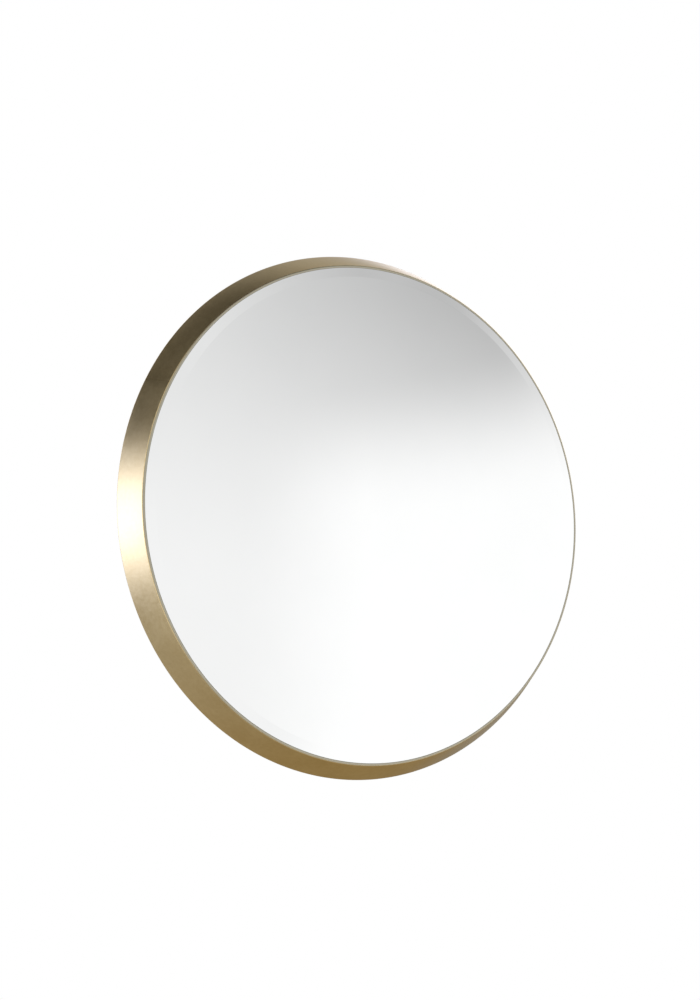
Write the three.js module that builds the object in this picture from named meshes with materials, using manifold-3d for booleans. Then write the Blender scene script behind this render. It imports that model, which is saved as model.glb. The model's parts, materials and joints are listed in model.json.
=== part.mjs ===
// Domed round wall mirror in a flared metal band, in millimetres.
// +Z is up and -Y is the front. The origin is the centre of the wall plane that the rubber bumpers touch.
import * as THREE from "three";
import { mergeVertices } from "three/addons/utils/BufferGeometryUtils.js";
import Module from "manifold-3d";

const wasm = await Module();
wasm.setup();

// ---- Driving dimensions ----

// Band
const FRAME_DIAMETER = 601; // across the rear corner, before its bend takes 1 mm off
const FRAME_DEPTH = 32; // front edge to the rear face of the lip
const BAND_FLARE = 16.5; // how much the radius grows from front to rear
const RIM_WIDTH = 2.5; // band wall, measured square to the axis
const RIM_OUTER_ROUNDING = 1;
const RIM_INNER_ROUNDING = 0.4;
const LIP_WIDTH = 12; // rear lip, from the widest place inwards
const LIP_THICKNESS = 2.2;
const LIP_BEND = 1.6; // rounding of the bend between wall and lip

// Pane
const GLASS_THICKNESS = 4;
const DOME_RISE = 28; // height of the dome over its own edge
const BEVEL_WIDTH = 11;
const BEVEL_DEPTH = 1.5; // thickness ground off at the edge
const GLASS_EDGE_GAP = 0.3; // between the pane's edge and the band

// Rings and board behind the pane
const TAPE_THICKNESS = 1.5;
const TAPE_WIDTH = 12;
const TAPE_INSET = 3; // from the pane's edge
const PACKING_WIDTH = 17;
const PACKING_CLEARANCE = 0.5; // between the packing ring and the band
const SEAT_RING_THICKNESS = 2;
const SEAT_RING_WIDTH = 42;
const BOARD_THICKNESS = 6;
const BOARD_CLEARANCE = 1; // between the board and the lip's opening
const RECESS_DEPTH = 9; // from the rear face of the lip to the board

// Screws that hold the board to the seat ring
const BOARD_SCREW_COUNT = 8;
const BOARD_SCREW_DIAMETER = 4;
const BOARD_SCREW_HEAD_DIAMETER = 7.5;
const BOARD_SCREW_HEAD_HEIGHT = 2.4;
const BOARD_SCREW_PROTRUSION = 2.5; // of the tip, past the seat ring

// Hangers: a folded strap with a bent wire D-ring
const HANGER_SPACING = 330; // from ring to ring
const HANGER_HEIGHT = 130; // of the ring's bar over the centre
const RING_WIRE_DIAMETER = 3.2;
const RING_INNER_WIDTH = 20;
const RING_CORNER_RADIUS = 3; // of the wire's middle line
const RING_SIDE_LENGTH = 3.4; // straight side between corner and bow
const RING_BUTT_GAP = 0.8; // where the wire's two ends meet, inside the strap
const STRAP_WIDTH = 14;
const STRAP_SHEET = 1; // one layer of the folded strip
const STRAP_HOLE_PITCH = 12;
const STRAP_HEAD_MARGIN = 2.5; // between the bow and the first screw's head
const HANGER_SCREW_DIAMETER = 3.2;
const HANGER_SCREW_HEAD_DIAMETER = 6.4;
const HANGER_SCREW_HEAD_HEIGHT = 1.9;
const HANGER_SCREW_DEPTH = 4.5; // into the board

// Bumpers
const BUMPER_DIAMETER = 8;
const BUMPER_FACE_DIAMETER = 6;
const BUMPER_HEIGHT = 3;
const BUMPER_ANGLES = { upper_left: 135, upper_right: 45, lower_left: 225, lower_right: 315 };

// Clearances
const SEAT_GAP = 0.3; // between faces that touch
const SCREW_CLEARANCE = 0.4; // round a screw in its hole
const PIN_CLEARANCE = 0.3; // round the ring's bar in its eye

// Facets
const ROUND_FACETS = 96; // round the whole mirror
const SMALL_FACETS = 12; // round a screw, its hole or a bumper
const EYE_FACETS = 16; // round the strap's eye
const WIRE_FACETS = 8;
const RING_STEPS = 44; // along the ring's wire
const CORNER_STEPS = 2;
const DOME_STEPS = 8; // from the middle of the dome to the bevel
const DOME_BACK_STEPS = 5;
const SEAT_STEPS = 2; // across the rings that follow the dome

// ---- Levels along the axis, from the wall forward ----

const lipRear = -(BUMPER_HEIGHT + SEAT_GAP);
const bandFront = lipRear - FRAME_DEPTH;
const boardRear = lipRear - RECESS_DEPTH;
const boardFront = boardRear - BOARD_THICKNESS;
const seatRingRear = boardFront - SEAT_GAP;
const seatRingFront = seatRingRear - SEAT_RING_THICKNESS;
const packingRear = seatRingFront - SEAT_GAP;

// ---- Radii that follow ----

const frameRadius = FRAME_DIAMETER / 2;
const bandOuter = (y) => frameRadius - (BAND_FLARE * (lipRear - y)) / FRAME_DEPTH;
const bandInner = (y) => bandOuter(y) - RIM_WIDTH;
const glassRadius = bandInner(bandFront) - GLASS_EDGE_GAP;
const lipInner = frameRadius - LIP_WIDTH;
const boardRadius = Math.min(lipInner, bandInner(boardFront)) - BOARD_CLEARANCE;
const seatRingOuter = bandInner(seatRingFront) - SEAT_GAP;
const seatRingInner = seatRingOuter - SEAT_RING_WIDTH;

// ---- The dome: two spheres about one centre behind the mirror ----

const domeRadius = (glassRadius ** 2 + DOME_RISE ** 2) / (2 * DOME_RISE);
const domeCentre = bandFront - BEVEL_DEPTH + Math.sqrt(domeRadius ** 2 - glassRadius ** 2);
const glassFront = (r) => domeCentre - Math.sqrt(domeRadius ** 2 - r ** 2);
const glassBack = (r) => domeCentre - Math.sqrt((domeRadius - GLASS_THICKNESS) ** 2 - r ** 2);
const tapeFront = (r) => glassBack(r) + SEAT_GAP;
const tapeRear = (r) => tapeFront(r) + TAPE_THICKNESS;
const packingFront = (r) => tapeRear(r) + SEAT_GAP;

const tapeOuter = glassRadius - TAPE_INSET;
const packingOuter = bandInner(packingFront(glassRadius)) - PACKING_CLEARANCE;
const packingInner = packingOuter - PACKING_WIDTH;
const boardScrewCircle = (seatRingInner + packingInner) / 2;

// ---- Materials ----

function finish(color, roughness, metalness) {
  return new THREE.MeshStandardMaterial({ color, roughness, metalness });
}

const satinBrass = finish("#c0a468", 0.38, 1);
const silveredGlass = finish("#e6e8e8", 0.03, 1);
const fibreboard = finish("#8a6a4a", 0.85, 0);
const foamTape = finish("#e9e6dc", 0.9, 0);
const paintedSteel = finish("#3c3b39", 0.55, 0.4);
const zincSteel = finish("#b9bcbf", 0.35, 1);
const blackRubber = finish("#1d1d1e", 0.8, 0);

// ---- Shared shape helpers ----

// A closed outline from corners [across, along, rounding]: each corner is eased over that length.
function easedOutline(corners) {
  const outline = new THREE.Path();
  const count = corners.length;
  const at = (i) => new THREE.Vector2(...corners[(i + count) % count].slice(0, 2));
  corners.forEach(([, , rounding], i) => {
    const corner = at(i);
    const start = at(i - 1).sub(corner).setLength(rounding).add(corner);
    const end = at(i + 1).sub(corner).setLength(rounding).add(corner);
    if (i === 0) outline.moveTo(start.x, start.y);
    else outline.lineTo(start.x, start.y);
    if (rounding > 0) outline.quadraticCurveTo(corner.x, corner.y, end.x, end.y);
  });
  outline.closePath();
  return outline.getPoints(CORNER_STEPS);
}

// Points along y = height(r), from one radius to another.
function curvePoints(height, fromRadius, toRadius, steps) {
  return Array.from({ length: steps + 1 }, (_, i) => {
    const r = fromRadius + ((toRadius - fromRadius) * i) / steps;
    return new THREE.Vector2(r, height(r));
  });
}

// A closed outline turned about the Y axis, with its faces pointing out.
function turned(points, facets) {
  const profile = points.map((p) => new THREE.Vector2(Math.max(p.x, 0), p.y));
  if (THREE.ShapeUtils.isClockWise(profile)) profile.reverse();
  if (!profile[0].equals(profile[profile.length - 1])) profile.push(profile[0].clone());
  return new THREE.LatheGeometry(profile, facets);
}

// A flat disc or washer about the Y axis.
function disc(radius, innerRadius, rear, front) {
  return turned(
    [
      new THREE.Vector2(innerRadius, front),
      new THREE.Vector2(radius, front),
      new THREE.Vector2(radius, rear),
      new THREE.Vector2(innerRadius, rear),
    ],
    ROUND_FACETS,
  );
}

function toSolid(geometry) {
  const bare = geometry.clone();
  bare.deleteAttribute("normal");
  bare.deleteAttribute("uv");
  const merged = mergeVertices(bare);
  return new wasm.Manifold(
    new wasm.Mesh({
      numProp: 3,
      vertProperties: merged.attributes.position.array,
      triVerts: new Uint32Array(merged.index.array),
    }),
  );
}

function toGeometry(solid) {
  const mesh = solid.getMesh();
  const geometry = new THREE.BufferGeometry();
  geometry.setAttribute("position", new THREE.BufferAttribute(mesh.vertProperties, 3));
  geometry.setIndex(new THREE.BufferAttribute(mesh.triVerts, 1));
  geometry.computeVertexNormals();
  return geometry;
}

// A round cutter along Y through (x, z), between two levels.
function drill(x, z, radius, rear, front) {
  const cutter = new THREE.CylinderGeometry(radius, radius, rear - front, SMALL_FACETS);
  cutter.translate(x, (rear + front) / 2, z);
  return toSolid(cutter);
}

function drilled(geometry, cutters) {
  return toGeometry(cutters.reduce((solid, cutter) => solid.subtract(cutter), toSolid(geometry)));
}

function addPart(parent, name, geometry, material) {
  const mesh = new THREE.Mesh(geometry, material);
  mesh.name = name;
  parent.add(mesh);
  return mesh;
}

// A pan-head screw along Y: the seat of its head is at 0, and the shank points forward.
function panHeadScrew(diameter, headDiameter, headHeight, length) {
  const tipRadius = diameter / 4;
  const tipLength = diameter / 2;
  return turned(
    easedOutline([
      [0, -length, 0],
      [tipRadius, -length, 0],
      [diameter / 2, tipLength - length, 0],
      [diameter / 2, 0, 0],
      [headDiameter / 2, 0, 0],
      [headDiameter / 2, headHeight, headHeight * 0.6],
      [0, headHeight, 0],
    ]),
    SMALL_FACETS,
  );
}

// ---- Band ----

function frameBand() {
  const lipFront = lipRear - LIP_THICKNESS;
  return turned(
    easedOutline([
      [bandOuter(bandFront), bandFront, RIM_OUTER_ROUNDING],
      [frameRadius, lipRear, LIP_BEND],
      [lipInner, lipRear, 0],
      [lipInner, lipFront, 0],
      [bandInner(lipFront), lipFront, LIP_BEND],
      [bandInner(bandFront), bandFront, RIM_INNER_ROUNDING],
    ]),
    ROUND_FACETS,
  );
}

// ---- Pane: domed glass whose edge is ground to a bevel ----

function mirrorGlass() {
  const bevelInner = glassRadius - BEVEL_WIDTH;
  return turned(
    [
      ...curvePoints(glassFront, 0, bevelInner, DOME_STEPS),
      new THREE.Vector2(glassRadius, bandFront),
      ...curvePoints(glassBack, glassRadius, 0, DOME_BACK_STEPS),
    ],
    ROUND_FACETS,
  );
}

// ---- Rings that follow the dome's back ----

function glassTape() {
  const inner = tapeOuter - TAPE_WIDTH;
  return turned(
    [
      ...curvePoints(tapeFront, inner, tapeOuter, SEAT_STEPS),
      ...curvePoints(tapeRear, tapeOuter, inner, SEAT_STEPS),
    ],
    ROUND_FACETS,
  );
}

// The outer side of the packing ring follows the band's taper.
function glassPackingRing() {
  const outerRear = bandInner(packingRear) - PACKING_CLEARANCE;
  return turned(
    [
      ...curvePoints(packingFront, packingInner, packingOuter, SEAT_STEPS),
      new THREE.Vector2(outerRear, packingRear),
      new THREE.Vector2(packingInner, packingRear),
    ],
    ROUND_FACETS,
  );
}

// ---- Seat ring, backboard and their screws ----

const boardScrewPlaces = Array.from({ length: BOARD_SCREW_COUNT }, (_, i) => {
  const angle = (Math.PI * (2 * i + 1)) / BOARD_SCREW_COUNT;
  return { x: boardScrewCircle * Math.cos(angle), z: boardScrewCircle * Math.sin(angle) };
});
const boardScrewSeat = boardRear + SEAT_GAP;
const boardScrewLength = boardScrewSeat - seatRingFront + BOARD_SCREW_PROTRUSION;
const boardScrewHole = BOARD_SCREW_DIAMETER / 2 + SCREW_CLEARANCE;

function glassSeatRing() {
  const holes = boardScrewPlaces.map(({ x, z }) =>
    drill(x, z, boardScrewHole, seatRingRear + 1, seatRingFront - 1),
  );
  return drilled(disc(seatRingOuter, seatRingInner, seatRingRear, seatRingFront), holes);
}

// ---- Hangers ----

const wireRadius = RING_WIRE_DIAMETER / 2;
const eyeInner = wireRadius + PIN_CLEARANCE;
const eyeOuter = eyeInner + STRAP_SHEET;
const strapThickness = 2 * STRAP_SHEET;
const strapSeat = boardRear + SEAT_GAP;
const ringHalfWidth = RING_INNER_WIDTH / 2 + wireRadius;
const ringReach = RING_CORNER_RADIUS + RING_SIDE_LENGTH + ringHalfWidth;
const firstHole = ringReach + wireRadius + STRAP_HEAD_MARGIN + HANGER_SCREW_HEAD_DIAMETER / 2;
const hangerHoles = { upper: -firstHole, lower: -(firstHole + STRAP_HOLE_PITCH) };
const hangerHoleRadius = HANGER_SCREW_DIAMETER / 2 + SCREW_CLEARANCE;
const hangerScrewSeat = strapSeat + strapThickness + SEAT_GAP;
const hangerScrewLength = hangerScrewSeat - boardRear + HANGER_SCREW_DEPTH;
const hangerSides = { left: -HANGER_SPACING / 2, right: HANGER_SPACING / 2 };

// The ring hangs down by its own weight and its bow lies on the strap: this is its lean from straight down.
const ringLean = Math.asin((strapThickness + SEAT_GAP + wireRadius - eyeOuter) / ringReach);

// The strap about the ring's bar, with its seat at y = 0: a strip folded round the bar, its end rounded.
function hangerStrap() {
  const side = new THREE.Shape();
  const endLevel = hangerHoles.lower - STRAP_WIDTH / 2;
  const meetHeight = Math.sqrt(eyeOuter ** 2 - (eyeOuter - strapThickness) ** 2);
  side.moveTo(0, endLevel);
  side.lineTo(strapThickness, endLevel);
  side.lineTo(strapThickness, -meetHeight);
  side.absarc(eyeOuter, 0, eyeOuter, Math.atan2(-meetHeight, strapThickness - eyeOuter), Math.PI);
  side.closePath();
  side.holes.push(new THREE.Path().absarc(eyeOuter, 0, eyeInner, 0, 2 * Math.PI));

  // The side outline is drawn as (Y, Z) and runs along X.
  const strip = new THREE.ExtrudeGeometry(side, {
    depth: STRAP_WIDTH,
    curveSegments: EYE_FACETS / 2,
    bevelEnabled: false,
  });
  strip.translate(0, 0, -STRAP_WIDTH / 2);
  strip.applyMatrix4(new THREE.Matrix4().set(0, 0, 1, 0, 1, 0, 0, 0, 0, 1, 0, 0, 0, 0, 0, 1));

  // The plan outline is drawn as (X, Z) and runs along Y.
  const plan = new THREE.Shape();
  plan.moveTo(STRAP_WIDTH / 2, 2 * eyeOuter);
  plan.lineTo(-STRAP_WIDTH / 2, 2 * eyeOuter);
  plan.lineTo(-STRAP_WIDTH / 2, hangerHoles.lower);
  plan.absarc(0, hangerHoles.lower, STRAP_WIDTH / 2, Math.PI, 2 * Math.PI);
  plan.closePath();
  const blank = new THREE.ExtrudeGeometry(plan, {
    depth: 4 * eyeOuter,
    curveSegments: EYE_FACETS / 2,
    bevelEnabled: false,
  });
  blank.translate(0, 0, -2 * eyeOuter);
  blank.rotateX(Math.PI / 2);

  const holes = Object.values(hangerHoles).map((z) =>
    drill(0, z, hangerHoleRadius, strapThickness + 1, -1),
  );
  const cut = holes.reduce((solid, hole) => solid.subtract(hole), toSolid(strip));
  return toGeometry(cut.intersect(toSolid(blank)));
}

// The wire's middle line, in the plane of X and Z, from butt joint to butt joint round the D.
class RingLine extends THREE.Curve {
  constructor() {
    super();
    const corner = RING_CORNER_RADIUS;
    const bowLevel = -(corner + RING_SIDE_LENGTH);
    const line = new THREE.Path();
    line.moveTo(RING_BUTT_GAP / 2, 0);
    line.lineTo(ringHalfWidth - corner, 0);
    line.absarc(ringHalfWidth - corner, -corner, corner, Math.PI / 2, 0, true);
    line.lineTo(ringHalfWidth, bowLevel);
    line.absarc(0, bowLevel, ringHalfWidth, 0, Math.PI, true);
    line.lineTo(-ringHalfWidth, -corner);
    line.absarc(corner - ringHalfWidth, -corner, corner, Math.PI, Math.PI / 2, true);
    line.lineTo(-RING_BUTT_GAP / 2, 0);
    this.line = line;
  }

  getPoint(t, target = new THREE.Vector3()) {
    const point = this.line.getPoint(t);
    return target.set(point.x, 0, point.y);
  }
}

function hangerRing() {
  const section = new THREE.Shape();
  section.absarc(0, 0, wireRadius, 0, 2 * Math.PI);
  return new THREE.ExtrudeGeometry(section, {
    extrudePath: new RingLine(),
    steps: RING_STEPS,
    curveSegments: WIRE_FACETS / 2,
    bevelEnabled: false,
  });
}

function backboard() {
  const screwHoles = boardScrewPlaces.map(({ x, z }) =>
    drill(x, z, boardScrewHole, boardRear + 1, boardFront - 1),
  );
  const pilotFloor = boardRear - HANGER_SCREW_DEPTH - SEAT_GAP;
  const pilotHoles = Object.values(hangerSides).flatMap((x) =>
    Object.values(hangerHoles).map((z) =>
      drill(x, HANGER_HEIGHT + z, hangerHoleRadius, boardRear + 1, pilotFloor),
    ),
  );
  return drilled(disc(boardRadius, 0, boardRear, boardFront), [...screwHoles, ...pilotHoles]);
}

// ---- Bumper: a low rubber dome with a flat face ----

function bumper() {
  return turned(
    easedOutline([
      [0, -BUMPER_HEIGHT, 0],
      [BUMPER_DIAMETER / 2, -BUMPER_HEIGHT, 0],
      [BUMPER_DIAMETER / 2, -BUMPER_HEIGHT / 2, BUMPER_HEIGHT / 4],
      [BUMPER_FACE_DIAMETER / 2, 0, BUMPER_HEIGHT / 8],
      [0, 0, 0],
    ]),
    SMALL_FACETS,
  );
}

// ---- Assembly ----

const mirror = new THREE.Group();

addPart(mirror, "frame_band", frameBand(), satinBrass);
addPart(mirror, "mirror_glass", mirrorGlass(), silveredGlass);
addPart(mirror, "glass_tape", glassTape(), foamTape);
addPart(mirror, "glass_packing_ring", glassPackingRing(), fibreboard);
addPart(mirror, "glass_seat_ring", glassSeatRing(), paintedSteel);
addPart(mirror, "backboard", backboard(), fibreboard);

boardScrewPlaces.forEach(({ x, z }, i) => {
  const screw = panHeadScrew(
    BOARD_SCREW_DIAMETER,
    BOARD_SCREW_HEAD_DIAMETER,
    BOARD_SCREW_HEAD_HEIGHT,
    boardScrewLength,
  );
  addPart(mirror, `backboard_screw_${i + 1}`, screw, zincSteel).position.set(x, boardScrewSeat, z);
});

for (const [side, x] of Object.entries(hangerSides)) {
  const hanger = new THREE.Group();
  hanger.position.set(x, 0, HANGER_HEIGHT);
  mirror.add(hanger);
  addPart(hanger, `hanger_strap_${side}`, hangerStrap(), zincSteel).position.y = strapSeat;
  const ring = addPart(hanger, `hanger_ring_${side}`, hangerRing(), zincSteel);
  ring.position.y = strapSeat + eyeOuter;
  ring.rotation.x = ringLean;
  for (const [level, z] of Object.entries(hangerHoles)) {
    const screw = panHeadScrew(
      HANGER_SCREW_DIAMETER,
      HANGER_SCREW_HEAD_DIAMETER,
      HANGER_SCREW_HEAD_HEIGHT,
      hangerScrewLength,
    );
    addPart(hanger, `hanger_screw_${side}_${level}`, screw, zincSteel).position.set(0, hangerScrewSeat, z);
  }
}

const bumperCircle = (lipInner + frameRadius - LIP_BEND) / 2;
for (const [place, degrees] of Object.entries(BUMPER_ANGLES)) {
  const angle = THREE.MathUtils.degToRad(degrees);
  addPart(mirror, `bumper_${place}`, bumper(), blackRubber).position.set(
    bumperCircle * Math.cos(angle),
    0,
    bumperCircle * Math.sin(angle),
  );
}

export default mirror;
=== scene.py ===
"""The looks of a domed round wall mirror in a flared brass band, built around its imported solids.

Metres throughout. +Z is up, -Y is the front, and the origin is the centre of the wall plane.
"""

import json
import math

import bmesh
import bpy
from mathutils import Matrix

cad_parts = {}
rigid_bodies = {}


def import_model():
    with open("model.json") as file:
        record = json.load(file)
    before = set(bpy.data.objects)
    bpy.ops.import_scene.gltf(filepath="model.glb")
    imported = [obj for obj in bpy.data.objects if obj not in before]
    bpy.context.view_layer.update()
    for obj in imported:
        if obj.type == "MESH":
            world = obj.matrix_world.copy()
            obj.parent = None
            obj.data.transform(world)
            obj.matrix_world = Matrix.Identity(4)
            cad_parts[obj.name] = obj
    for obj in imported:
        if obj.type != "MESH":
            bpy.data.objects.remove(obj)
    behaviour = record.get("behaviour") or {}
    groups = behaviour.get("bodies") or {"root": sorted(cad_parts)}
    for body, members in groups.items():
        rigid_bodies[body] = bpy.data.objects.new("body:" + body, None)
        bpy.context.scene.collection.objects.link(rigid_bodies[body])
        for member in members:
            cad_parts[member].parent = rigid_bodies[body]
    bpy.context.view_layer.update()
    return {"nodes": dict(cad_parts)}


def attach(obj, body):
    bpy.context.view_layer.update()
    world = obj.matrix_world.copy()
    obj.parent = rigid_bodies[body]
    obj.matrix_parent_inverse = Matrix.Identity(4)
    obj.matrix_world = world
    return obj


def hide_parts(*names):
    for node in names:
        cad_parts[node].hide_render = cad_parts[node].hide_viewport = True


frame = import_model()


# ---- Camera ----
# It stands to the left of the mirror and a little below its middle, and looks slightly upwards.

VIEW_AZIMUTH = math.radians(-30.17)
VIEW_ELEVATION = math.radians(-6.82)
CAMERA_PLACE = (-1.28601, -2.19948, -0.28621)
SENSOR_HEIGHT_MM = 36
LENS_MM = 80.63

camera_data = bpy.data.cameras.new("camera")
camera_data.sensor_fit = "VERTICAL"
camera_data.sensor_height = SENSOR_HEIGHT_MM
camera_data.lens = LENS_MM
camera = bpy.data.objects.new("camera", camera_data)
camera.location = CAMERA_PLACE
camera.rotation_euler = (math.pi / 2 - VIEW_ELEVATION, 0, VIEW_AZIMUTH)
bpy.context.scene.collection.objects.link(camera)
bpy.context.scene.camera = camera


# ---- Frame band ----
# A strip of 2.5 mm brass rolled into a flared hoop, with its rear edge turned in as a flat lip.
# The hoop is closed by one butt weld, ground flush, and the metal is brushed to a soft satin.

LIP_REAR = -0.0033
BAND_FRONT = -0.0353
BAND_REAR_RADIUS = 0.3005
BAND_SLOPE = 0.0165 / 0.032
BAND_WALL = 0.0025
LIP_RADIUS = 0.2885
LIP_SHEET = 0.0022
RIM_TILT = -0.82
RIM_DEPTH = 0.001
BAND_STEPS = 384


def band_outside(y):
    return BAND_REAR_RADIUS - BAND_SLOPE * (LIP_REAR - y)


def band_inside(y):
    return band_outside(y) - BAND_WALL


def start_mesh(name, place):
    """A new piece that is one loose vertex, left in edit mode, with its object at the origin."""
    bpy.ops.object.select_all(action="DESELECT")
    bpy.ops.mesh.primitive_plane_add(size=0.001, location=place)
    bpy.ops.object.transform_apply(location=True)
    piece = bpy.context.active_object
    piece.name = piece.data.name = name
    bpy.ops.object.mode_set(mode="EDIT")
    bpy.ops.mesh.select_mode(type="VERT")
    bpy.ops.mesh.select_all(action="SELECT")
    bpy.ops.mesh.merge(type="CENTER")
    return piece


def extrude_along(points):
    """Extrudes what is selected from the first point to each of the others in turn."""
    for here, there in zip(points, points[1:]):
        step = [b - a for a, b in zip(here, there)]
        bpy.ops.mesh.extrude_region_move(TRANSFORM_OT_translate={"value": step})


def close_up():
    """Merges doubled corners and turns every face outwards."""
    bpy.ops.mesh.select_all(action="SELECT")
    bpy.ops.mesh.remove_doubles(threshold=2e-6)
    bpy.ops.mesh.normals_make_consistent(inside=False)


def smooth_faces(piece, degrees=28):
    """Leaves edit mode and smooths all but the edges that turn by more than the angle."""
    if bpy.context.mode == "EDIT_MESH":
        bpy.ops.object.mode_set(mode="OBJECT")
    bpy.ops.object.select_all(action="DESELECT")
    piece.select_set(True)
    bpy.context.view_layer.objects.active = piece
    bpy.ops.object.shade_smooth_by_angle(angle=math.radians(degrees))


def turned(name, outline, steps):
    """Draws an outline of (radius, y) and spins it about the Y axis; stays in edit mode."""
    points = [(radius, y, 0) for radius, y in outline]
    piece = start_mesh(name, points[0])
    extrude_along(points)
    bpy.ops.mesh.select_all(action="SELECT")
    bpy.ops.mesh.spin(steps=steps, angle=2 * math.pi, center=(0, 0, 0), axis=(0, 1, 0))
    close_up()
    return piece


def pick_edges(piece, wanted):
    """Selects the edges whose two ends both pass the test."""
    bpy.ops.mesh.select_mode(type="EDGE")
    bpy.ops.mesh.select_all(action="DESELECT")
    shape = bmesh.from_edit_mesh(piece.data)
    for edge in shape.edges:
        if all(wanted(vertex.co) for vertex in edge.verts):
            edge.select_set(True)
    bmesh.update_edit_mesh(piece.data)


def round_ring(piece, radius, y, width, segments):
    """Rounds one ring-shaped edge of a turned piece."""

    def on_ring(place):
        return abs(math.hypot(place.x, place.z) - radius) < 2e-5 and abs(place.y - y) < 2e-5

    pick_edges(piece, on_ring)
    bpy.ops.mesh.bevel(offset=width, segments=segments, profile=0.5, affect="EDGES")


lip_front = LIP_REAR - LIP_SHEET
band_corners = {
    "outer arris": (band_outside(BAND_FRONT), BAND_FRONT, 0.0014, 6),
    "rear bend": (BAND_REAR_RADIUS, LIP_REAR, 0.00165, 6),
    "lip edge, rear": (LIP_RADIUS, LIP_REAR, 0.0004, 3),
    "lip edge, front": (LIP_RADIUS, lip_front, 0.0004, 3),
    "inner bend": (band_inside(lip_front), lip_front, 0.0014, 4),
    "inner arris": (band_inside(BAND_FRONT), BAND_FRONT, 0.0002, 2),
}
outline = [(radius, y) for radius, y, _, _ in band_corners.values()]
band = turned("brass_band", outline + outline[:1], BAND_STEPS)
for radius, y, width, segments in band_corners.values():
    round_ring(band, radius, y, width, segments)
close_up()
smooth_faces(band)


class Amount:
    """A number of a node tree: arithmetic on it adds Math nodes."""

    def __init__(self, tree, socket):
        self.tree = tree
        self.socket = socket

    def math(self, operation, *others):
        return self.tree.math(operation, self, *others)

    def __add__(self, other):
        return self.math("ADD", other)

    def __mul__(self, other):
        return self.math("MULTIPLY", other)

    def __sub__(self, other):
        return self.math("SUBTRACT", other)

    def __rsub__(self, other):
        return self.tree.math("SUBTRACT", other, self)

    def __abs__(self):
        return self.math("ABSOLUTE")

    __radd__ = __add__
    __rmul__ = __mul__


class Tree:
    """A node tree that is written as formulas and short calls."""

    def __init__(self, node_tree):
        self.nodes = node_tree.nodes
        self.links = node_tree.links
        self.nodes.clear()

    def add(self, kind, settings=None, inputs=None):
        """Any node: its settings first, then the values or links of its sockets."""
        node = self.nodes.new(kind)
        for name, value in (settings or {}).items():
            setattr(node, name, value)
        for name, value in (inputs or {}).items():
            socket = node.inputs[name]
            if isinstance(value, Amount):
                self.links.new(value.socket, socket)
            elif isinstance(value, bpy.types.NodeSocket):
                self.links.new(value, socket)
            else:
                socket.default_value = value
        return node

    def math(self, operation, *values):
        node = self.add("ShaderNodeMath", {"operation": operation}, dict(enumerate(values)))
        return Amount(self, node.outputs[0])

    def parts(self, vector):
        """The three components of a vector."""
        node = self.add("ShaderNodeSeparateXYZ", {}, {0: vector})
        return [Amount(self, socket) for socket in node.outputs]

    def step(self, amount, start, end, low=0.0, high=1.0):
        """Rises smoothly from low to high as the amount goes from start to end."""
        node = self.add(
            "ShaderNodeMapRange",
            {"interpolation_type": "SMOOTHSTEP"},
            {"Value": amount, 1: start, 2: end, 3: low, 4: high},
        )
        return Amount(self, node.outputs[0])

    def stretched(self, vector, scale):
        """A vector scaled along its three axes."""
        settings = {"vector_type": "POINT"}
        node = self.add("ShaderNodeMapping", settings, {"Vector": vector, "Scale": scale})
        return node.outputs[0]

    def noise(self, vector, scale, detail=2.0, roughness=0.5):
        inputs = {"Vector": vector, "Scale": scale, "Detail": detail, "Roughness": roughness}
        return Amount(self, self.add("ShaderNodeTexNoise", {}, inputs).outputs[0])

    def mix(self, factor, first, second):
        """A colour between two colours, given as triples or as sockets."""
        inputs = {0: factor}
        for name, colour in ((6, first), (7, second)):
            inputs[name] = (*colour, 1) if isinstance(colour, tuple) else colour
        return self.add("ShaderNodeMix", {"data_type": "RGBA"}, inputs).outputs[2]


class Finish(Tree):
    """A material with one Principled shader, whose patterns follow the place on the piece."""

    def __init__(self, name):
        self.material = bpy.data.materials.new(name)
        self.material.use_nodes = True
        super().__init__(self.material.node_tree)
        self.place = self.add("ShaderNodeTexCoord").outputs["Object"]

    def shade(self, height=None, **inputs):
        """Feeds the shader; height is the relief in metres."""
        values = {name.replace("_", " ").title(): value for name, value in inputs.items()}
        if height is not None:
            relief = {"Strength": 1.0, "Distance": 1.0, "Height": height}
            values["Normal"] = self.add("ShaderNodeBump", {}, relief).outputs[0]
        if isinstance(values.get("Base Color"), tuple):
            values["Base Color"] = (*values["Base Color"], 1)
        shader = self.add("ShaderNodeBsdfPrincipled", {}, values)
        self.add("ShaderNodeOutputMaterial", {}, {"Surface": shader.outputs[0]})
        return self.material


def coat_with(piece, *materials):
    """Gives a piece these materials in place of any it has."""
    piece.data.materials.clear()
    for material in materials:
        piece.data.materials.append(material)


BRASS_DEEP = (0.735, 0.560, 0.285)
BRASS_PALE = (0.845, 0.670, 0.375)
WELD_ANGLE = math.radians(153)

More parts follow.
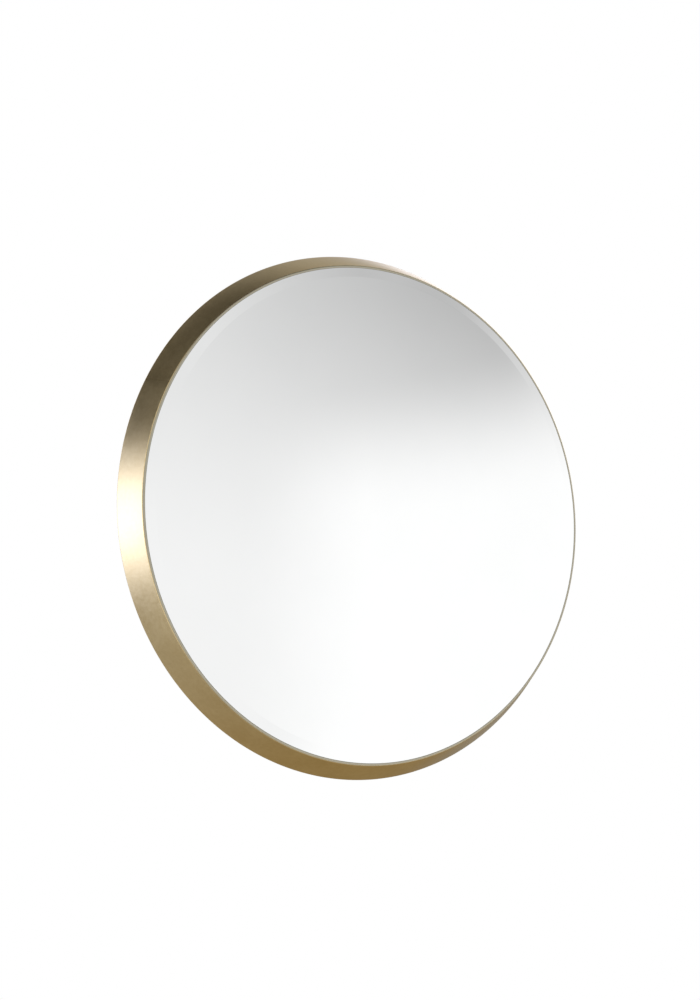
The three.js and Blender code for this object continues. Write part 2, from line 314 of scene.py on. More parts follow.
brass = Finish("satin_brass")
x, y, z = brass.parts(brass.place)
mottle = brass.noise(brass.place, 24.0, 4.0, 0.6)
speckle = brass.noise(brass.place, 230.0, 3.0, 0.6)
brushing = brass.noise(brass.stretched(brass.place, (22, 1900, 22)), 1.0, 2.0)
# Within 1.6 mm of the front edge the brass is smoother, and its colour is also made paler there as
# a painted highlight along the arris.
arris = brass.step(y, BAND_FRONT + 0.0016, BAND_FRONT + 0.0004)
off_weld = abs(x * math.sin(WELD_ANGLE) - z * math.cos(WELD_ANGLE))
weld_side = brass.step(x * math.cos(WELD_ANGLE) + z * math.sin(WELD_ANGLE), 0.0, 0.1)
weld_line = brass.step(off_weld, 0.0009, 0.0002) * weld_side
weld_polish = brass.step(off_weld, 0.0110, 0.0030) * weld_side
# The arris term lifts the colour as a painted highlight. Mottle and speckle are the metal's own
# random tone, and the weld line is its dark seam.
tone = mottle * 0.7 + speckle * 0.55 - weld_line * 0.5 + arris * 0.4
satin_brass = brass.shade(
    base_color=brass.mix(brass.step(tone, 0.30, 0.95), BRASS_DEEP, BRASS_PALE),
    metallic=1.0,
    roughness=0.215
    + mottle * 0.09
    + speckle * 0.09
    + brushing * 0.04
    - arris * 0.07
    - weld_polish * 0.03,
    height=brushing * 2.2e-6 + speckle * 4.5e-5 - weld_line * 6e-5,
)

rim = Finish("sawn_rim")
sawing = rim.noise(rim.stretched(rim.place, (60, 60, 60)), 1.0, 3.0)
swirl = rim.noise(rim.place, 1100.0, 3.0, 0.65)
sawn_rim = rim.shade(
    base_color=rim.mix(sawing * 0.5 + swirl * 0.5, (0.440, 0.405, 0.305), (0.570, 0.530, 0.420)),
    metallic=1.0,
    roughness=0.44 + swirl * 0.14,
    height=swirl * 8e-6,
)
coat_with(band, satin_brass, sawn_rim)
for face in band.data.polygons:
    if face.normal.y < RIM_TILT and face.center.y < BAND_FRONT + RIM_DEPTH:
        face.material_index = 1
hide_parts("frame_band")
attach(band, "mirror_body")


# ---- Seat ring, packing ring and foam tape ----
# Behind the pane a steel ring is welded into the band, and a dished fibreboard ring lies on it.
# Closed-cell foam tape, squeezed so that its sides bulge, bonds the pane to the fibreboard.

DOME_CENTRE = 1.36123
DOME_RADIUS = 1.42603
PANE_THICKNESS = 0.004
TAPE_GAP = 0.0003
TAPE_THICKNESS = 0.0015
TAPE_RADII = (0.2662, 0.2782)
TAPE_BULGE = 0.0004
TAPE_SIDE_STEPS = 6
TAPE_MIDDLE = 0.272
TAPE_STEPS = 192


def dome(radius, depth=0.0):
    """The level of the pane's front at a radius, or of a sphere that lies deeper by that depth."""
    return DOME_CENTRE - math.sqrt((DOME_RADIUS - depth) ** 2 - radius**2)


def tape_side(radius, way):
    """The bulged side of the tape, from its front to its rear."""
    points = []
    for i in range(1, TAPE_SIDE_STEPS):
        share = i / TAPE_SIDE_STEPS
        out = radius + way * TAPE_BULGE * math.sin(math.pi * share)
        points.append((out, dome(radius, PANE_THICKNESS) + TAPE_GAP + share * TAPE_THICKNESS))
    return points


tape_front = [
    (radius, dome(radius, PANE_THICKNESS) + TAPE_GAP)
    for radius in (TAPE_RADII[0], TAPE_MIDDLE, TAPE_RADII[1])
]
tape_rear = [(radius, level + TAPE_THICKNESS) for radius, level in reversed(tape_front)]
outline = tape_front + tape_side(TAPE_RADII[1], 1) + tape_rear + tape_side(TAPE_RADII[0], -1)[::-1]
tape = turned("foam_tape_ring", outline + outline[:1], TAPE_STEPS)
smooth_faces(tape)

foam = Finish("foam_tape")
cells = foam.add("ShaderNodeTexVoronoi", {"feature": "F1"}, {"Vector": foam.place, "Scale": 2600.0})
cell = Amount(foam, cells.outputs["Distance"])
dirt = foam.noise(foam.place, 90.0, 3.0)
coat_with(
    tape,
    foam.shade(
        base_color=foam.mix(
            foam.step(dirt + cell * 0.3, 0.35, 0.9), (0.91, 0.90, 0.86), (0.80, 0.78, 0.72)
        ),
        roughness=0.86 + dirt * 0.1,
        height=cell * 4e-5,
    ),
)
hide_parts("glass_tape")
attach(tape, "mirror_body")

FIBRE_DARK = (0.300, 0.205, 0.125)
FIBRE_MID = (0.455, 0.335, 0.220)
FIBRE_PALE = (0.560, 0.435, 0.305)

pressed = Finish("pressed_fibreboard")
felting = pressed.noise(pressed.place, 1300.0, 4.0, 0.7)
clumps = pressed.noise(pressed.place, 210.0, 3.0, 0.6)
clouding = pressed.noise(pressed.place, 7.0, 3.0)
curl = pressed.noise(pressed.place, 260.0, 1.5, 0.5)
fibres = pressed.step(abs(curl - 0.5), 0.022, 0.004) * pressed.step(clumps, 0.45, 0.62)
flecks = pressed.step(pressed.noise(pressed.place, 950.0, 1.0), 0.68, 0.76)
board_tone = felting * 0.55 + clumps * 0.45 + clouding * 0.20 + fibres * 0.10
board_colour = pressed.mix(pressed.step(board_tone, 0.38, 0.86), FIBRE_MID, FIBRE_PALE)
fibreboard = pressed.shade(
    base_color=pressed.mix(flecks * 0.5, board_colour, FIBRE_DARK),
    roughness=0.66 + felting * 0.20,
    height=felting * 3e-5 + fibres * 4e-5,
)
coat_with(frame["nodes"]["glass_packing_ring"], fibreboard)

primer = Finish("dark_primer")
peel = primer.noise(primer.place, 900.0, 2.0)
dust = primer.noise(primer.place, 60.0, 4.0, 0.6)
painted_steel = primer.shade(
    base_color=primer.mix(
        primer.step(dust, 0.35, 0.8), (0.055, 0.055, 0.052), (0.115, 0.112, 0.105)
    ),
    roughness=0.46 + dust * 0.2,
    height=peel * 8e-6,
)
coat_with(frame["nodes"]["glass_seat_ring"], painted_steel)


# ---- Mirror glass ----
# One round pane of 4 mm float glass, slumped over a dome mould, with its edge ground and polished
# to a bevel. It is silvered behind the glass, and the silver is backed with grey paint.

PANE_RADIUS = 0.28135
BEVEL_START = 0.2702
PANE_STEPS = 384
ARRIS = 0.00012
BEVEL_EASE = 0.00015
POLE_RADII = [0.0, 0.001, 0.003, 0.006]
INNER_RING = 0.010
FRONT_RINGS = 52
BACK_RINGS = 24
SIDE_TILT = 0.3

ring_step = BEVEL_START - INNER_RING
dome_radii = POLE_RADII + [
    INNER_RING + ring_step * i / FRONT_RINGS for i in range(FRONT_RINGS + 1)
]
back_radii = [PANE_RADIUS * (1 - i / BACK_RINGS) for i in range(BACK_RINGS + 1)]
outline = [(radius, dome(radius)) for radius in dome_radii]
outline += [(PANE_RADIUS, BAND_FRONT)]
outline += [(radius, dome(radius, PANE_THICKNESS)) for radius in back_radii]
pane = turned("domed_mirror_pane", outline, PANE_STEPS)
round_ring(pane, PANE_RADIUS, BAND_FRONT, ARRIS, 2)
round_ring(pane, PANE_RADIUS, dome(PANE_RADIUS, PANE_THICKNESS), ARRIS, 2)
round_ring(pane, BEVEL_START, dome(BEVEL_START), BEVEL_EASE, 2)
close_up()
smooth_faces(pane, degrees=1.9)

silver = Finish("silvered_glass")
x, _, z = silver.parts(silver.place)
radius = (x * x + z * z).math("SQRT")
on_bevel = silver.step(radius, BEVEL_START - 0.0002, BEVEL_START + 0.0002)
slump = silver.noise(silver.place, 9.0, 1.0)
haze = silver.noise(silver.place, 7.0, 5.0, 0.62)
grinding = silver.noise(silver.place, 800.0, 2.0)
silvered_glass = silver.shade(
    base_color=silver.mix(
        silver.step(haze, 0.3, 0.8), (0.975, 0.980, 0.978), (0.955, 0.962, 0.960)
    ),
    metallic=1.0,
    roughness=0.012 + haze * 0.020 + on_bevel * (0.008 + grinding * 0.012),
    coat_weight=0.3,
    coat_roughness=0.01,
    height=slump * 2.5e-5,
)

ground = Finish("ground_glass_edge")
frosting = ground.noise(ground.place, 1500.0, 3.0, 0.7)
ground_edge = ground.shade(
    base_color=ground.mix(frosting, (0.30, 0.40, 0.36), (0.56, 0.66, 0.62)),
    roughness=0.42 + frosting * 0.2,
    height=frosting * 1.5e-5,
)

backing = Finish("mirror_backing_paint")
runs = backing.noise(backing.stretched(backing.place, (6, 6, 40)), 1.0, 3.0)
orange_peel = backing.noise(backing.place, 450.0, 2.0)
backing_paint = backing.shade(
    base_color=backing.mix(runs, (0.235, 0.245, 0.255), (0.300, 0.310, 0.320)),
    roughness=0.38 + orange_peel * 0.15,
    height=orange_peel * 1.2e-5,
)

# The rear faces are painted and the narrow side is frosted, and the rest keeps its silver.
coat_with(pane, silvered_glass, ground_edge, backing_paint)
for face in pane.data.polygons:
    if face.normal.y > SIDE_TILT:
        face.material_index = 2
    elif abs(face.normal.y) < SIDE_TILT:
        face.material_index = 1
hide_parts("mirror_glass")
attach(pane, "mirror_body")


# ---- Backboard ----
# A disc of 6 mm pressed fibreboard closes the back and lies sunk behind the band's lip.
# Its edge is sawn and lightly eased, and it is drilled for the screws that go through it.

BOARD_RADIUS = 0.2875
BOARD_REAR = -0.0123
BOARD_THICKNESS = 0.006
BOARD_HOLE = 0.0024
HANGER_HOLE = 0.0020
PILOT_DEPTH = 0.0048
SCREW_CIRCLE = 0.25659
SCREW_ANGLES = [math.radians(22.5 + 45 * i) for i in range(8)]
HANGER_X = 0.165
HANGER_Z = 0.130
HANGER_HOLES = {"upper": -0.0253, "lower": -0.0373}
BOARD_STEPS = 256
HOLE_SIDES = 32
DRILL_START = 0.001


def drill(piece, holes):
    """Takes round holes along Y out of a piece; each is (x, z, radius, rear, front)."""
    bpy.ops.object.select_all(action="DESELECT")
    for x, z, radius, rear, front in holes:
        bpy.ops.mesh.primitive_cylinder_add(
            vertices=HOLE_SIDES,
            radius=radius,
            depth=rear - front,
            location=(x, (rear + front) / 2, z),
            rotation=(math.pi / 2, 0, 0),
        )
    for tool in bpy.data.objects:
        if tool.name.startswith("Cylinder"):
            tool.select_set(True)
    bpy.ops.object.join()
    cutter = bpy.context.active_object
    bpy.ops.object.transform_apply()
    apply_boolean(piece, cutter, "DIFFERENCE")


def apply_boolean(piece, cutter, operation):
    """Cuts a piece with another and removes the cutter."""
    bpy.ops.object.select_all(action="DESELECT")
    piece.select_set(True)
    bpy.context.view_layer.objects.active = piece
    cut = piece.modifiers.new("cut", "BOOLEAN")
    cut.operation = operation
    cut.solver = "EXACT"
    cut.object = cutter
    bpy.ops.object.modifier_apply(modifier=cut.name)
    bpy.data.objects.remove(cutter)


board_front = BOARD_REAR - BOARD_THICKNESS
outline = [
    (0, board_front),
    (BOARD_RADIUS, board_front),
    (BOARD_RADIUS, BOARD_REAR),
    (0, BOARD_REAR),
]
board = turned("pressed_backboard", outline, BOARD_STEPS)
round_ring(board, BOARD_RADIUS, board_front, width=0.0005, segments=2)
round_ring(board, BOARD_RADIUS, BOARD_REAR, width=0.0006, segments=3)
bpy.ops.object.mode_set(mode="OBJECT")
through = (BOARD_REAR + DRILL_START, board_front - DRILL_START)
blind = (BOARD_REAR + DRILL_START, BOARD_REAR - PILOT_DEPTH)
holes = [
    (SCREW_CIRCLE * math.cos(angle), SCREW_CIRCLE * math.sin(angle), BOARD_HOLE, *through)
    for angle in SCREW_ANGLES
]
holes += [
    (side * HANGER_X, HANGER_Z + drop, HANGER_HOLE, *blind)
    for side in (-1, 1)
    for drop in HANGER_HOLES.values()
]
drill(board, holes)
bpy.ops.object.mode_set(mode="EDIT")
close_up()
smooth_faces(board)
coat_with(board, fibreboard)
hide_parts("backboard")
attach(board, "mirror_body")


# ---- Pan-head screws ----
# Zinc-plated steel screws with a domed pan head and a cross recess. Eight hold the backboard to the
# seat ring, and four smaller ones hold the two hanger straps to the backboard.


def pan_head_screw(name, shank, head, height, length, turn):
    """A screw along Y with the seat of its head at 0 and its shank towards -Y, at the origin."""
    dome_steps = 9
    crown = [
        (head * math.cos(a) ** 0.55, height * (0.30 + 0.70 * math.sin(a)))
        for a in [math.pi / 2 * i / dome_steps for i in range(dome_steps + 1)]
    ]
    root = shank * 0.72
    pitch = shank * 0.62
    outline = [(0, -length), (shank * 0.22, -length + shank * 0.25)]
    level = -length + shank * 1.1
    outline.append((root, level))
    while level + pitch < -shank * 0.5:
        outline += [
            (root, level + pitch * 0.15),
            (shank, level + pitch * 0.5),
            (root, level + pitch * 0.85),
        ]
        level += pitch
    outline += [(root, -shank * 0.4), (shank, -shank * 0.1), (shank, 0)]
    outline += [(head * 0.97, 0), (head, height * 0.08)]
    outline += crown[:-1] + [(0, height)]
    screw = turned(name, outline, 40)
    bpy.ops.object.mode_set(mode="OBJECT")
    for quarter in (0, 1):
        bpy.ops.object.select_all(action="DESELECT")
        bpy.ops.mesh.primitive_cube_add(size=1, location=(0, height, 0))
        slot = bpy.context.active_object
        slot.scale = (head * 1.16, height * 1.5, head * 0.25)
        slot.rotation_euler = (0, turn + quarter * math.pi / 2, 0)
        bpy.ops.object.transform_apply()
        bpy.ops.object.mode_set(mode="EDIT")
        pick_edges(slot, lambda place: place.y < height)
        bpy.ops.transform.resize(value=(0.55, 1, 0.55), center_override=(0, height * 0.25, 0))
        bpy.ops.object.mode_set(mode="OBJECT")
        apply_boolean(screw, slot, "DIFFERENCE")
    smooth_faces(screw, 35)
    return screw


def copy_of(piece, name, place):
    """A copy with its own mesh, set down at a place; its object stays at the origin."""
    bpy.ops.object.select_all(action="DESELECT")
    piece.select_set(True)
    bpy.context.view_layer.objects.active = piece
    bpy.ops.object.duplicate(linked=False)
    twin = bpy.context.active_object
    twin.name = twin.data.name = name
    twin.location = place
    bpy.ops.object.transform_apply(location=True)
    return twin


zinc = Finish("bright_zinc")
plating = zinc.noise(zinc.place, 160.0, 3.0, 0.6)
crystals = zinc.noise(zinc.place, 1400.0, 2.0)
scuffs = zinc.noise(zinc.stretched(zinc.place, (300, 300, 2400)), 1.0, 2.0)
zinc_plate = zinc.shade(
    base_color=zinc.mix(
        zinc.step(plating, 0.3, 0.75), (0.660, 0.675, 0.690), (0.765, 0.760, 0.735)
    ),
    metallic=1.0,
    roughness=0.24 + crystals * 0.14 + scuffs * 0.06,
    height=crystals * 4e-6 + scuffs * 2e-6,
)

SEAT_GAP = 0.0003
SCREW_SEAT = BOARD_REAR + SEAT_GAP
board_screw = pan_head_screw(
    "board_screw_pattern", shank=0.0020, head=0.00375, height=0.0024, length=0.0111, turn=0.4
)
for i, angle in enumerate(SCREW_ANGLES, 1):
    place = (SCREW_CIRCLE * math.cos(angle), SCREW_SEAT, SCREW_CIRCLE * math.sin(angle))
    screw = copy_of(board_screw, f"board_pan_screw_{i}", place)
    coat_with(screw, zinc_plate)
    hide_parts(f"backboard_screw_{i}")
    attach(screw, "mirror_body")
bpy.data.objects.remove(board_screw)

STRAP_THICKNESS = 0.002
HANGER_SCREW_SEAT = SCREW_SEAT + STRAP_THICKNESS + SEAT_GAP
hanger_screw = pan_head_screw(
    "hanger_screw_pattern", shank=0.0016, head=0.0032, height=0.0019, length=0.0071, turn=0.9
)
for side, x in (("left", -HANGER_X), ("right", HANGER_X)):
    for row, drop in HANGER_HOLES.items():
        place = (x, HANGER_SCREW_SEAT, HANGER_Z + drop)
        screw = copy_of(hanger_screw, f"strap_screw_{side}_{row}", place)
        coat_with(screw, zinc_plate)
        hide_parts(f"hanger_screw_{side}_{row}")
        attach(screw, "mirror_body")
bpy.data.objects.remove(hanger_screw)


# ---- Hanger straps ----
# Each is one strip of 1 mm zinc-plated steel, folded double round the bar of its ring to form an
# eye, with a rounded lower end and two screw holes through both layers.

STRAP_WIDTH = 0.014
STRAP_SHEET = 0.00096
LAYER_STEP = 0.001
EYE_MIDDLE_RADIUS = 0.0024
EYE_RISE = 0.0029
EYE_Y = SCREW_SEAT + EYE_RISE
STRAP_END = HANGER_HOLES["lower"] - STRAP_WIDTH / 2
NECK_RADIUS = 0.0016
STRAP_HOLE = 0.0020
STRAP_EASE = 0.00012
STRAIGHT_END = -0.012
BLANK_TOP = 0.01
BLANK_REAR = 0.02
BLANK_DEPTH = 0.05
DRILL_ENDS = (0.01, -0.03)


def arc(centre_y, centre_z, radius, start, end, steps):
    """Points (y, z) on an arc, its angles in degrees from +Y towards +Z."""
    angles = [math.radians(start + (end - start) * i / steps) for i in range(steps + 1)]
    return [(centre_y + radius * math.cos(a), centre_z + radius * math.sin(a)) for a in angles]


# The strip leaves the eye in a reversed bend that lays its second layer on the first.
under_y = SCREW_SEAT + LAYER_STEP / 2
over_y = under_y + LAYER_STEP
neck_y = over_y + NECK_RADIUS
reach = EYE_MIDDLE_RADIUS + NECK_RADIUS
neck_z = -math.sqrt(reach**2 - (neck_y - EYE_Y) ** 2)
meeting = math.degrees(math.atan2(neck_z, neck_y - EYE_Y))
strip = [(under_y, STRAP_END), (under_y, STRAIGHT_END)]
strip += arc(EYE_Y, 0, EYE_MIDDLE_RADIUS, 180, meeting, 26)
strip += arc(neck_y, neck_z, NECK_RADIUS, meeting + 180, 180, 6)[1:]
strip += [(over_y, STRAIGHT_END), (over_y, STRAP_END)]

strap = start_mesh("strap_pattern", (-STRAP_WIDTH / 2, *strip[0]))
extrude_along([(-STRAP_WIDTH / 2, *point) for point in strip])
bpy.ops.mesh.select_all(action="SELECT")
bpy.ops.mesh.extrude_region_move(TRANSFORM_OT_translate={"value": (STRAP_WIDTH, 0, 0)})
close_up()
bpy.ops.object.mode_set(mode="OBJECT")
sheet = strap.modifiers.new("sheet", "SOLIDIFY")
sheet.thickness = STRAP_SHEET
sheet.offset = 0
sheet.use_even_offset = True
bpy.ops.object.modifier_apply(modifier=sheet.name)

# The blank's plan: straight sides and a round end about the lower hole.
corner_x = STRAP_WIDTH / 2
plan = [(corner_x, BLANK_TOP), (-corner_x, BLANK_TOP)]
plan += arc(0, HANGER_HOLES["lower"], corner_x, 180, 360, 32)
blank = start_mesh("strap_blank", (plan[0][0], BLANK_REAR, plan[0][1]))
extrude_along([(px, BLANK_REAR, pz) for px, pz in plan + plan[:1]])
close_up()
bpy.ops.mesh.edge_face_add()
bpy.ops.mesh.extrude_region_move(TRANSFORM_OT_translate={"value": (0, -BLANK_DEPTH, 0)})
close_up()
bpy.ops.object.mode_set(mode="OBJECT")
apply_boolean(strap, blank, "INTERSECT")
drill(strap, [(0, drop, STRAP_HOLE, *DRILL_ENDS) for drop in HANGER_HOLES.values()])
bpy.ops.object.mode_set(mode="EDIT")
close_up()
bpy.ops.object.mode_set(mode="OBJECT")
eased = strap.modifiers.new("eased", "BEVEL")
eased.width = STRAP_EASE
eased.segments = 2
eased.limit_method = "ANGLE"
eased.angle_limit = math.radians(50)
bpy.ops.object.modifier_apply(modifier=eased.name)
smooth_faces(strap, 35)
flat = strap.modifiers.new("flat", "WEIGHTED_NORMAL")
flat.keep_sharp = True
bpy.ops.object.modifier_apply(modifier=flat.name)

for side, x in (("left", -HANGER_X), ("right", HANGER_X)):
    piece = copy_of(strap, f"folded_strap_{side}", (x, 0, HANGER_Z))
    coat_with(piece, zinc_plate)
    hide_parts(f"hanger_strap_{side}")
    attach(piece, "mirror_body")
bpy.data.objects.remove(strap)


# ---- Hanging rings ----
# Each is a D of 3.2 mm round wire, bent cold and plated. Its straight bar turns in the strap's eye,
# where the two cut ends meet, and the bow hangs down and lies against the strap.

WIRE_RADIUS = 0.0016
WIRE_SIDES = 24
CUT_EASE = 0.0002
RING_HALF_WIDTH = 0.0116
RING_CORNER = 0.003
CORNER_STEPS = 10
BOW_STEPS = 44
RING_SIDE = 0.0034
RING_BUTT = 0.0004
RING_LEAN = math.radians(3.18)

down = (0, math.sin(RING_LEAN), -math.cos(RING_LEAN))
across = (0, math.cos(RING_LEAN), math.sin(RING_LEAN))


def ring_point(x, fall):
    """A point in the plane of the ring, a distance below its bar."""
    return (x, EYE_Y + down[1] * fall, down[2] * fall)


def bend(centre, degrees, steps):
    """Sweeps the wire's open end round a bend; the angle is positive from +X downwards."""
    bpy.ops.mesh.spin(steps=steps, angle=-math.radians(degrees), center=centre, axis=across)


def draw_wire(x, fall):
    """Draws the wire's open end straight along the ring's plane."""
    step = (x, down[1] * fall, down[2] * fall)
    bpy.ops.mesh.extrude_region_move(TRANSFORM_OT_translate={"value": step})


corner_x = RING_HALF_WIDTH - RING_CORNER
bpy.ops.object.select_all(action="DESELECT")
bpy.ops.mesh.primitive_circle_add(
    vertices=WIRE_SIDES,
    radius=WIRE_RADIUS,
    fill_type="NGON",
    location=ring_point(RING_BUTT, 0),
    rotation=(0, math.pi / 2, 0),
)
bpy.ops.object.transform_apply()
ring = bpy.context.active_object
ring.name = ring.data.name = "ring_pattern"
bpy.ops.object.mode_set(mode="EDIT")
bpy.ops.mesh.select_mode(type="EDGE")
bpy.ops.mesh.select_all(action="SELECT")
draw_wire(corner_x - RING_BUTT, 0)
bend(ring_point(corner_x, RING_CORNER), 90, CORNER_STEPS)
draw_wire(0, RING_SIDE)
bend(ring_point(0, RING_CORNER + RING_SIDE), 180, BOW_STEPS)
draw_wire(0, -RING_SIDE)
bend(ring_point(-corner_x, RING_CORNER), 90, CORNER_STEPS)
draw_wire(corner_x - RING_BUTT, 0)
close_up()
bpy.ops.object.mode_set(mode="OBJECT")
cut_ends = ring.modifiers.new("cut_ends", "BEVEL")
cut_ends.width = CUT_EASE
cut_ends.segments = 2
cut_ends.limit_method = "ANGLE"
cut_ends.angle_limit = math.radians(60)
bpy.ops.object.modifier_apply(modifier=cut_ends.name)
smooth_faces(ring, 40)

for side, x in (("left", -HANGER_X), ("right", HANGER_X)):
    piece = copy_of(ring, f"wire_ring_{side}", (x, 0, HANGER_Z))
    coat_with(piece, zinc_plate)
    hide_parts(f"hanger_ring_{side}")
    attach(piece, f"{side}_ring")
bpy.data.objects.remove(ring)


# ---- Bumpers ----
# Four low domes of moulded black rubber stand on the lip. Each has a flat face that meets the wall
# and a shallow dimple left by the moulding pin.

BUMPER_CIRCLE = 0.2937
BUMPER_HEIGHT = 0.003
BUMPER_RADIUS = 0.0040
BUMPER_SHOULDER = -BUMPER_HEIGHT * 0.55
BUMPER_FACE = 0.0030
DIMPLE_RADII = (0.0012, 0.0008)
DIMPLE_DEPTH = 0.0003
BUMPER_STEPS = 48
BUMPER_PLACES = {"upper_right": 45, "upper_left": 135, "lower_left": 225, "lower_right": 315}

outline = [
    (0, -BUMPER_HEIGHT),
    (BUMPER_RADIUS, -BUMPER_HEIGHT),
    (BUMPER_RADIUS, BUMPER_SHOULDER),
    (BUMPER_FACE, 0),
    (DIMPLE_RADII[0], 0),
    (DIMPLE_RADII[1], -DIMPLE_DEPTH),
    (0, -DIMPLE_DEPTH),
]
foot = turned("bumper_pattern", outline, BUMPER_STEPS)
round_ring(foot, BUMPER_RADIUS, BUMPER_SHOULDER, width=0.0006, segments=4)
round_ring(foot, BUMPER_FACE, 0, width=0.0004, segments=3)
close_up()
smooth_faces(foot, 40)

rubber = Finish("moulded_rubber")
bloom = rubber.noise(rubber.place, 320.0, 4.0, 0.6)
grit = rubber.noise(rubber.place, 3200.0, 2.0)
black_rubber = rubber.shade(
    base_color=rubber.mix(
        rubber.step(bloom, 0.4, 0.8), (0.016, 0.016, 0.017), (0.042, 0.041, 0.039)
    ),
    roughness=0.58 + bloom * 0.22,
    height=grit * 1.2e-5,
)
for corner, degrees in BUMPER_PLACES.items():
    angle = math.radians(degrees)
    place = (BUMPER_CIRCLE * math.cos(angle), 0, BUMPER_CIRCLE * math.sin(angle))
    piece = copy_of(foot, f"rubber_bumper_{corner}", place)
    coat_with(piece, black_rubber)
    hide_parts(f"bumper_{corner}")
    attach(piece, "mirror_body")
bpy.data.objects.remove(foot)


# ---- Floor ----
# A plain pale floor well below the mirror. Metal and glass see the studio in its place.

FLOOR_RADIUS = 3
FLOOR_LEVEL = -1.2

bpy.ops.object.select_all(action="DESELECT")
bpy.ops.mesh.primitive_circle_add(
    vertices=128, radius=FLOOR_RADIUS, fill_type="NGON", location=(0, 0, FLOOR_LEVEL)
)
floor = bpy.context.active_object
floor.name = "floor"
floor.visible_glossy = False
pale = Finish("pale_floor")
grain = pale.noise(pale.place, 3.0, 3.0)
coat_with(
    floor,
    pale.shade(
        base_color=pale.mix(grain, (0.925, 0.925, 0.92), (0.95, 0.95, 0.945)),
        roughness=0.9,
    ),
)


# ---- Studio ----
# Two large soft lamps, one at the front and one behind, over an even white room light the object.
# Polished pieces see a room that is a formula of direction, fitted to what the real pane shows from
# the camera: a white panel and grey walls in front, a softbox and a dark ceiling behind the wall.

LAMP_SIZE = 2.4
LAMP_POWER = 66
AMBIENT_LEVEL = 0.62
DEGREES = 180 / math.pi


def soft_lamp(name, place):
    """A large square lamp that faces the mirror and isn't seen in reflections."""
    data = bpy.data.lights.new(name, "AREA")
    data.shape = "SQUARE"
    data.size = LAMP_SIZE
    data.energy = LAMP_POWER
    lamp = bpy.data.objects.new(name, data)
    lamp.location = place
    aim = [-value for value in place]
    flat = math.hypot(aim[0], aim[1])
    lamp.rotation_euler = (math.atan2(flat, -aim[2]), 0, math.atan2(-aim[0], aim[1]))
    lamp.visible_glossy = False
    bpy.context.scene.collection.objects.link(lamp)


soft_lamp("front_lamp", (-1.6, -2.6, 2.2))
soft_lamp("rear_lamp", (1.4, 2.6, 2.0))

world = bpy.data.worlds.new("studio")
world.use_nodes = True
bpy.context.scene.world = world
studio = Tree(world.node_tree)
way = studio.add("ShaderNodeTexCoord").outputs["Generated"]
x, y, z = studio.parts(way)

# Angles are in degrees. Azimuth runs to the right from straight ahead, and each pair of angles is
# where a tone starts and where it is full.
azimuth = x.math("ARCTAN2", 0 - y) * DEGREES
elevation = z.math("ARCSINE") * DEGREES

# The grey wall darkens upwards, and more so to the right, until a pale corner ends it.
WALL_TONE = 0.926
WALL_END = 60.0
WALL_SHADE = 0.128
SHADE_PER_DEGREE = 0.00675
SHADE_RISE = (-4.8, 33.3)
CORNER_SIDE, CORNER_FOOT, CORNER_LIGHT = (49.8, 67.8), (5.0, 20.0), 0.23
COVING_SIDE, COVING_FOOT, COVING_LIGHT = (38.0, 52.0), (34.0, 42.0), 0.09

to_right = azimuth.math("MAXIMUM", 0.0).math("MINIMUM", WALL_END)
shade = to_right * SHADE_PER_DEGREE + WALL_SHADE
corner = studio.step(azimuth, *CORNER_SIDE) * studio.step(elevation, *CORNER_FOOT)
coving = studio.step(azimuth, *COVING_SIDE) * studio.step(elevation, *COVING_FOOT)
grey_wall = WALL_TONE - shade * studio.step(elevation, *SHADE_RISE)
grey_wall = grey_wall + corner * CORNER_LIGHT
grey_wall = grey_wall + coving * COVING_LIGHT

# The white panel stands at the right, with its top edge falling towards the left.
PANEL_TONE = 1.03
PANEL_SIDE = (12.1, 29.5)
PANEL_TOP = (22.75, 7.75)
PANEL_HIGH_END = 50.0
PANEL_SLOPE = 0.132

panel_top = elevation + (PANEL_HIGH_END - to_right) * PANEL_SLOPE
panel = studio.step(azimuth, *PANEL_SIDE) * studio.step(panel_top, *PANEL_TOP)
front_room = grey_wall + (PANEL_TONE - grey_wall) * panel

# Overhead is nearly dark, underfoot is dimmer, and so is an upright stripe at the far left.
OVERHEAD, OVERHEAD_DIMMING = (46.0, 60.0), 0.86
UNDERFOOT, UNDERFOOT_DIMMING = (-34.0, -52.0), 0.5
STRIPE_RIGHT, STRIPE_LEFT, STRIPE_DIMMING = (-14.0, -36.0), (-58.0, -42.0), 0.5

overhead = studio.step(elevation, *OVERHEAD)
underfoot = studio.step(elevation, *UNDERFOOT)
stripe = studio.step(azimuth, *STRIPE_RIGHT) * studio.step(azimuth, *STRIPE_LEFT)
front_room = front_room * (1 - overhead * OVERHEAD_DIMMING)
front_room = front_room * (1 - underfoot * UNDERFOOT_DIMMING)
front_room = front_room * (1 - stripe * STRIPE_DIMMING)

# Behind the wall plane the angle runs round the mirror's axis, from the left upwards: a softbox, a
# dark ceiling that grows pale to the right, a side wall at the right and a dim ground below.
SOFTBOX_MIDDLE = 1.4
SOFTBOX_FALL = (26.6, 3.0)
SOFTBOX_LEVEL = 2.65
CEILING_TONE = 0.053
CEILING_RISES = (((83.0, 121.0), 0.42), ((127.0, 150.0), 1.5))
GROUND_TONE = 0.41
GROUND_FALL, GROUND_DROP = (-40.0, -110.0), 0.09
HORIZON = (-14.0, 14.0)
SIDE_WALL, SIDE_WALL_TONE = (160.0, 178.0), 0.37

around = z.math("ARCTAN2", 0 - x) * DEGREES
softbox = studio.step(abs(around - SOFTBOX_MIDDLE), *SOFTBOX_FALL) * SOFTBOX_LEVEL
ceiling = CEILING_TONE
for rise, gain in CEILING_RISES:
    ceiling = ceiling + studio.step(around, *rise) * gain
ground_tone = GROUND_TONE - studio.step(around, *GROUND_FALL) * GROUND_DROP
above = studio.step(around, *HORIZON)
side_wall = studio.step(abs(around), *SIDE_WALL)
rear_room = ground_tone * (1 - above) + ceiling * above + softbox
rear_room = rear_room * (1 - side_wall) + side_wall * SIDE_WALL_TONE

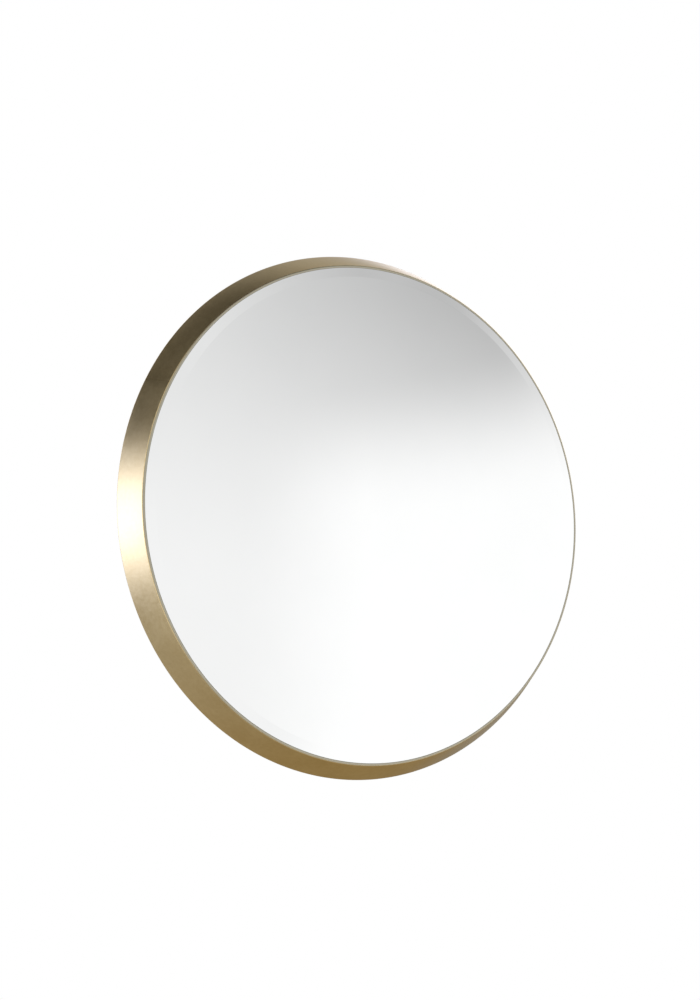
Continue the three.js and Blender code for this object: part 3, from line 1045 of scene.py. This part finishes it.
# Straight behind, the room is plain and only grows a little paler upwards.
DEEP = (0.50, 0.75)
DEEP_SLANT = 0.6
DEEP_TONE, DEEP_RISE = 0.62, 0.25
BEHIND = (-0.22, 0.04)

deep = studio.step(y - x.math("MAXIMUM", 0.0) * DEEP_SLANT, *DEEP)
rear_room = rear_room * (1 - deep) + (DEEP_TONE + z * DEEP_RISE) * deep
behind = studio.step(y, *BEHIND)
room_light = front_room * (1 - behind) + rear_room * behind

# The ground is warm, and the softbox and the pale end of the ceiling are cool.
NEUTRAL = (1.0, 1.0, 1.0)
WARM = (1.0, 0.82, 0.50)
COOL = (0.90, 1.0, 1.42)
WARM_LEFT, WARM_RIGHT = (-30.0, -115.0), (-160.0, -140.0)
WARMTH_UNDERFOOT = 0.25
COOL_SOFTBOX, COOL_CEILING, CEILING_COOLNESS = (35.0, 9.0), (118.0, 140.0), 0.5

below = studio.step(around, *WARM_LEFT) * studio.step(around, *WARM_RIGHT) * behind
warmth = below + underfoot * (1 - behind) * WARMTH_UNDERFOOT
coolness = studio.step(abs(around), *COOL_SOFTBOX)
coolness = coolness + studio.step(around, *COOL_CEILING) * CEILING_COOLNESS
tint = studio.mix(warmth, NEUTRAL, WARM)
tint = studio.mix(coolness * behind * (1 - deep), tint, COOL)

# Cameras see plain white, polished pieces see the room, and all else is lit evenly.
path = studio.add("ShaderNodeLightPath").outputs
seen_in_gloss = studio.math("MAXIMUM", path["Is Glossy Ray"], path["Is Transmission Ray"])
white = (1, 1, 1, 1)
ambient = studio.add("ShaderNodeBackground", {}, {"Color": white, "Strength": AMBIENT_LEVEL})
reflected = studio.add("ShaderNodeBackground", {}, {"Color": tint, "Strength": room_light})
backdrop = studio.add("ShaderNodeBackground", {}, {"Color": white, "Strength": 1.0})
lit = studio.add(
    "ShaderNodeMixShader", {}, {0: seen_in_gloss, 1: ambient.outputs[0], 2: reflected.outputs[0]}
)
shown = studio.add(
    "ShaderNodeMixShader", {}, {0: path["Is Camera Ray"], 1: lit.outputs[0], 2: backdrop.outputs[0]}
)
studio.add("ShaderNodeOutputWorld", {}, {"Surface": shown.outputs[0]})

bpy.context.scene.view_settings.view_transform = "Standard"
